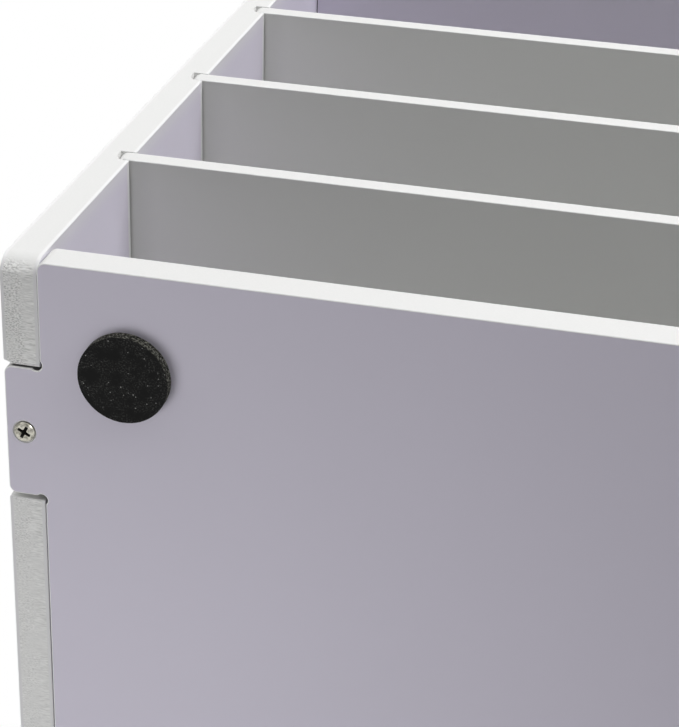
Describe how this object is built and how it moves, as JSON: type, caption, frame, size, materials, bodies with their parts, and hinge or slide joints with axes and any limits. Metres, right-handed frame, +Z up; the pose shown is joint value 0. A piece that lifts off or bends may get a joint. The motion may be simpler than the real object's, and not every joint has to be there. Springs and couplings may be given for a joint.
{
  "type": "mail sorter",
  "caption": "Desktop mail sorter: board casing with an open front, removable shelves that slide in grooves, tab joints with countersunk screws, and round foot pads.",
  "frame": {"origin": "centre of the overall box in X and Y, on the surface under the foot pads", "axes": "+Z up, the open front faces -Y, +X to the right as seen from the front"},
  "size_m": [0.33, 0.24, 0.2642],
  "materials": {
    "casing_board": "satin",
    "shelf_board": "satin",
    "screw_metal": "satin",
    "foot_pad": "matte"
  },
  "bodies": {
    "casing": {"left_side_board": "casing_board", "right_side_board": "casing_board", "bottom_board": "casing_board", "top_board": "casing_board", "back_board": "casing_board", "bottom_left_front_screw": "screw_metal", "bottom_left_rear_screw": "screw_metal", "bottom_right_front_screw": "screw_metal", "bottom_right_rear_screw": "screw_metal", "top_left_front_screw": "screw_metal", "top_left_rear_screw": "screw_metal", "top_right_front_screw": "screw_metal", "top_right_rear_screw": "screw_metal", "front_left_foot": "foot_pad", "front_right_foot": "foot_pad", "rear_left_foot": "foot_pad", "rear_right_foot": "foot_pad"},
    "shelf_1": {"shelf_1": "shelf_board"},
    "shelf_2": {"shelf_2": "shelf_board"},
    "shelf_3": {"shelf_3": "shelf_board"}
  },
  "joints": [
    {"name": "shelf_1_slide", "type": "slide", "parent": "casing", "child": "shelf_1", "axis": [0, -1, 0], "range_m": [0, 0.235]},
    {"name": "shelf_2_slide", "type": "slide", "parent": "casing", "child": "shelf_2", "axis": [0, -1, 0], "range_m": [0, 0.235]},
    {"name": "shelf_3_slide", "type": "slide", "parent": "casing", "child": "shelf_3", "axis": [0, -1, 0], "range_m": [0, 0.235]}
  ]
}
